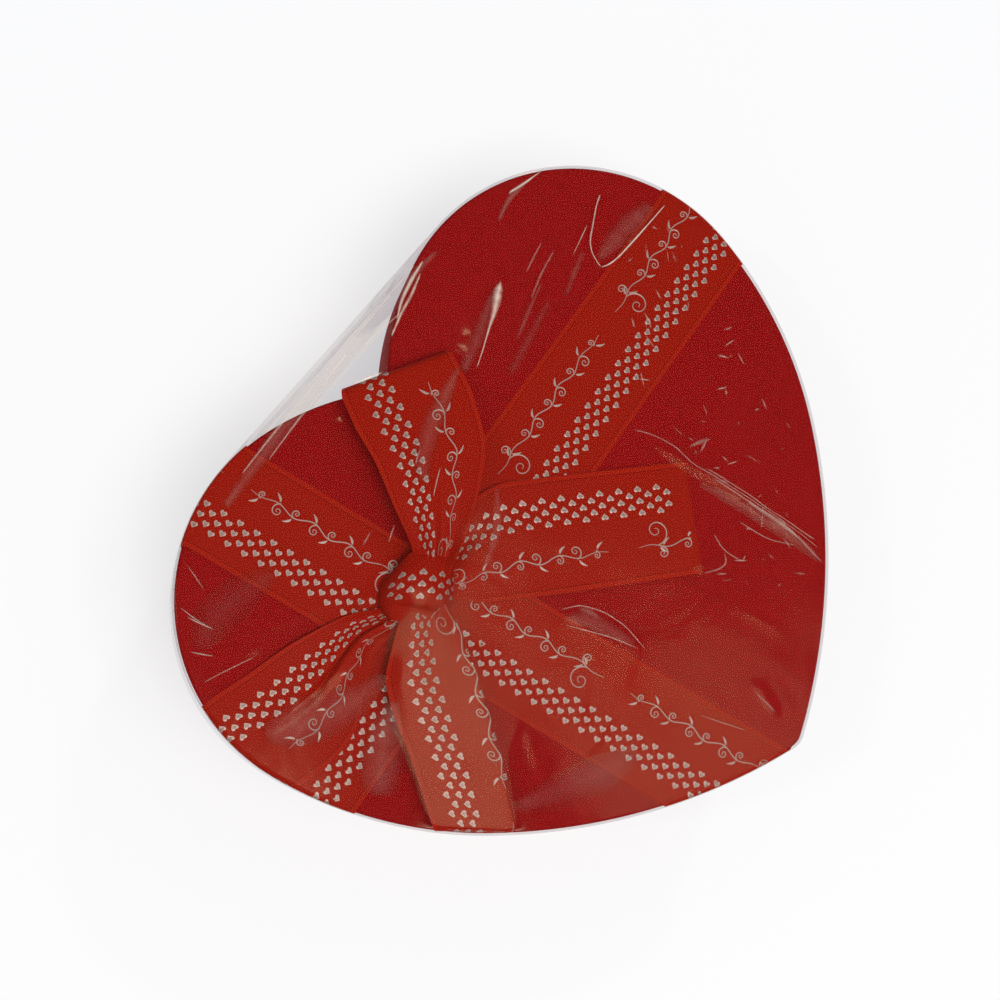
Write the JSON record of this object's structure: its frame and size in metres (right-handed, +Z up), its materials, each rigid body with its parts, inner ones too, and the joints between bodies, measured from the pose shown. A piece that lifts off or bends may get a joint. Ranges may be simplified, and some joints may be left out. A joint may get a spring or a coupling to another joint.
{
  "type": "heart-shaped gift box",
  "caption": "Heart-shaped rigid gift box with a lift-off lid, tied with satin ribbon and a bow, and wrapped in clear shrink film.",
  "frame": {"origin": "centre of the wrapped box's footprint, on the surface that it lies on", "axes": "+Z up out of the lid, +Y towards the cleft between the two lobes, -Y towards the heart's point, +X across the lobes"},
  "size_m": [0.1672, 0.1442, 0.0593],
  "materials": {
    "greyboard": "matt, cut edges fibrous",
    "linen_paper": "linen-embossed, dyed through, low sheen",
    "lining_paper": "smooth, matt",
    "satin_ribbon": "satin weave with silver foil print",
    "shrink_film": "clear and glossy, drawn tight"
  },
  "bodies": {
    "base": {"base_floor_board": "greyboard", "base_wall_board": "greyboard", "base_wall_wrap": "linen_paper", "base_underside_sheet": "linen_paper", "base_wall_lining": "lining_paper", "base_floor_lining": "lining_paper", "film_bottom": "shrink_film"},
    "lid": {"lid_top_board": "greyboard", "lid_wall_board": "greyboard", "lid_wall_wrap": "linen_paper", "lid_top_sheet": "linen_paper", "lid_wall_lining": "lining_paper", "lid_top_lining": "lining_paper", "strap_cross": "satin_ribbon", "strap_long": "satin_ribbon", "bow_knot": "satin_ribbon", "bow_upper_loop": "satin_ribbon", "bow_lower_loop": "satin_ribbon", "bow_right_tail": "satin_ribbon", "bow_left_tail": "satin_ribbon"},
    "film_top": {"film_top": "shrink_film"}
  },
  "joints": [
    {"name": "lid_lift", "type": "slide", "parent": "base", "child": "lid", "axis": [0, 0, 1], "range_m": [0, 0.04]},
    {"name": "film_lift", "type": "slide", "parent": "lid", "child": "film_top", "axis": [0, 0, 1], "range_m": [0, 0.045]}
  ]
}
